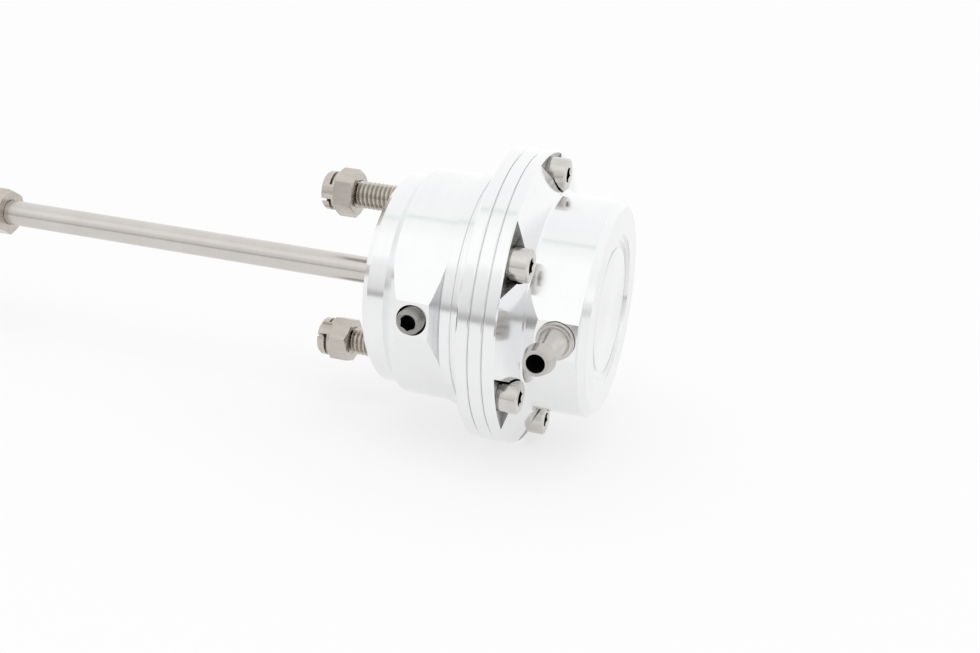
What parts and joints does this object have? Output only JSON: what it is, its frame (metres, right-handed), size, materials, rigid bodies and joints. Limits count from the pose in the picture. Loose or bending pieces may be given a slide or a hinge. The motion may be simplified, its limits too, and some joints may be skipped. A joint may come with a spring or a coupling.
{
  "type": "turbo actuator",
  "caption": "Pneumatic turbo actuator: turned aluminium can with a diaphragm inside, hose barb, mounting studs and a sliding rod that ends in a ball rod end.",
  "frame": {"origin": "centre of the mounting face, on the rod's axis", "axes": "+X along the axis towards the cap, so the rod leaves towards -X; the hose port and the plugged port look towards -Y; the studs lie at +Z and -Z"},
  "size_m": [0.196, 0.0717, 0.0638],
  "materials": {
    "machined_aluminium": "turned and polished",
    "piston_aluminium": "turned",
    "stainless": "satin",
    "rod_stainless": "ground along its length",
    "grey_steel": "dull",
    "spring_steel": "drawn wire",
    "ball_steel": "polished",
    "bush_bronze": "sintered",
    "seal_rubber": "matt",
    "diaphragm_rubber": "fabric reinforced",
    "liner_polymer": "matt"
  },
  "bodies": {
    "housing": {"lower_housing": "machined_aluminium", "mid_ring": "machined_aluminium", "cap": "machined_aluminium", "cap_screws": "stainless", "mounting_studs": "stainless", "stud_nuts": "stainless", "port_plug": "grey_steel", "plug_seal": "seal_rubber", "hose_barb": "stainless", "barb_seal": "seal_rubber", "rod_bush": "bush_bronze", "rod_seal": "seal_rubber", "spring_seat": "stainless", "flange_seal": "seal_rubber", "diaphragm": "diaphragm_rubber", "outer_spring": "spring_steel", "inner_spring": "spring_steel"},
    "rod": {"piston": "piston_aluminium", "diaphragm_plate": "piston_aluminium", "piston_washer": "stainless", "piston_nut": "stainless", "actuator_rod": "rod_stainless", "rod_jam_nut": "stainless", "rod_end_body": "stainless", "rod_end_liner": "liner_polymer"},
    "ball": {"rod_end_ball": "ball_steel"}
  },
  "joints": [
    {"name": "rod_slide", "type": "slide", "parent": "housing", "child": "rod", "axis": [-1, 0, 0], "range_m": [0, 0.012], "stiffness_N_per_m": 5200, "springref_m": -0.0113, "deforming": ["outer_spring", "inner_spring", "diaphragm"]},
    {"name": "ball_swivel", "type": "hinge", "parent": "rod", "child": "ball", "pos_m": [-0.1376, 0, 0], "axis": [0, 0, 1], "range_deg": [-13, 13]}
  ]
}
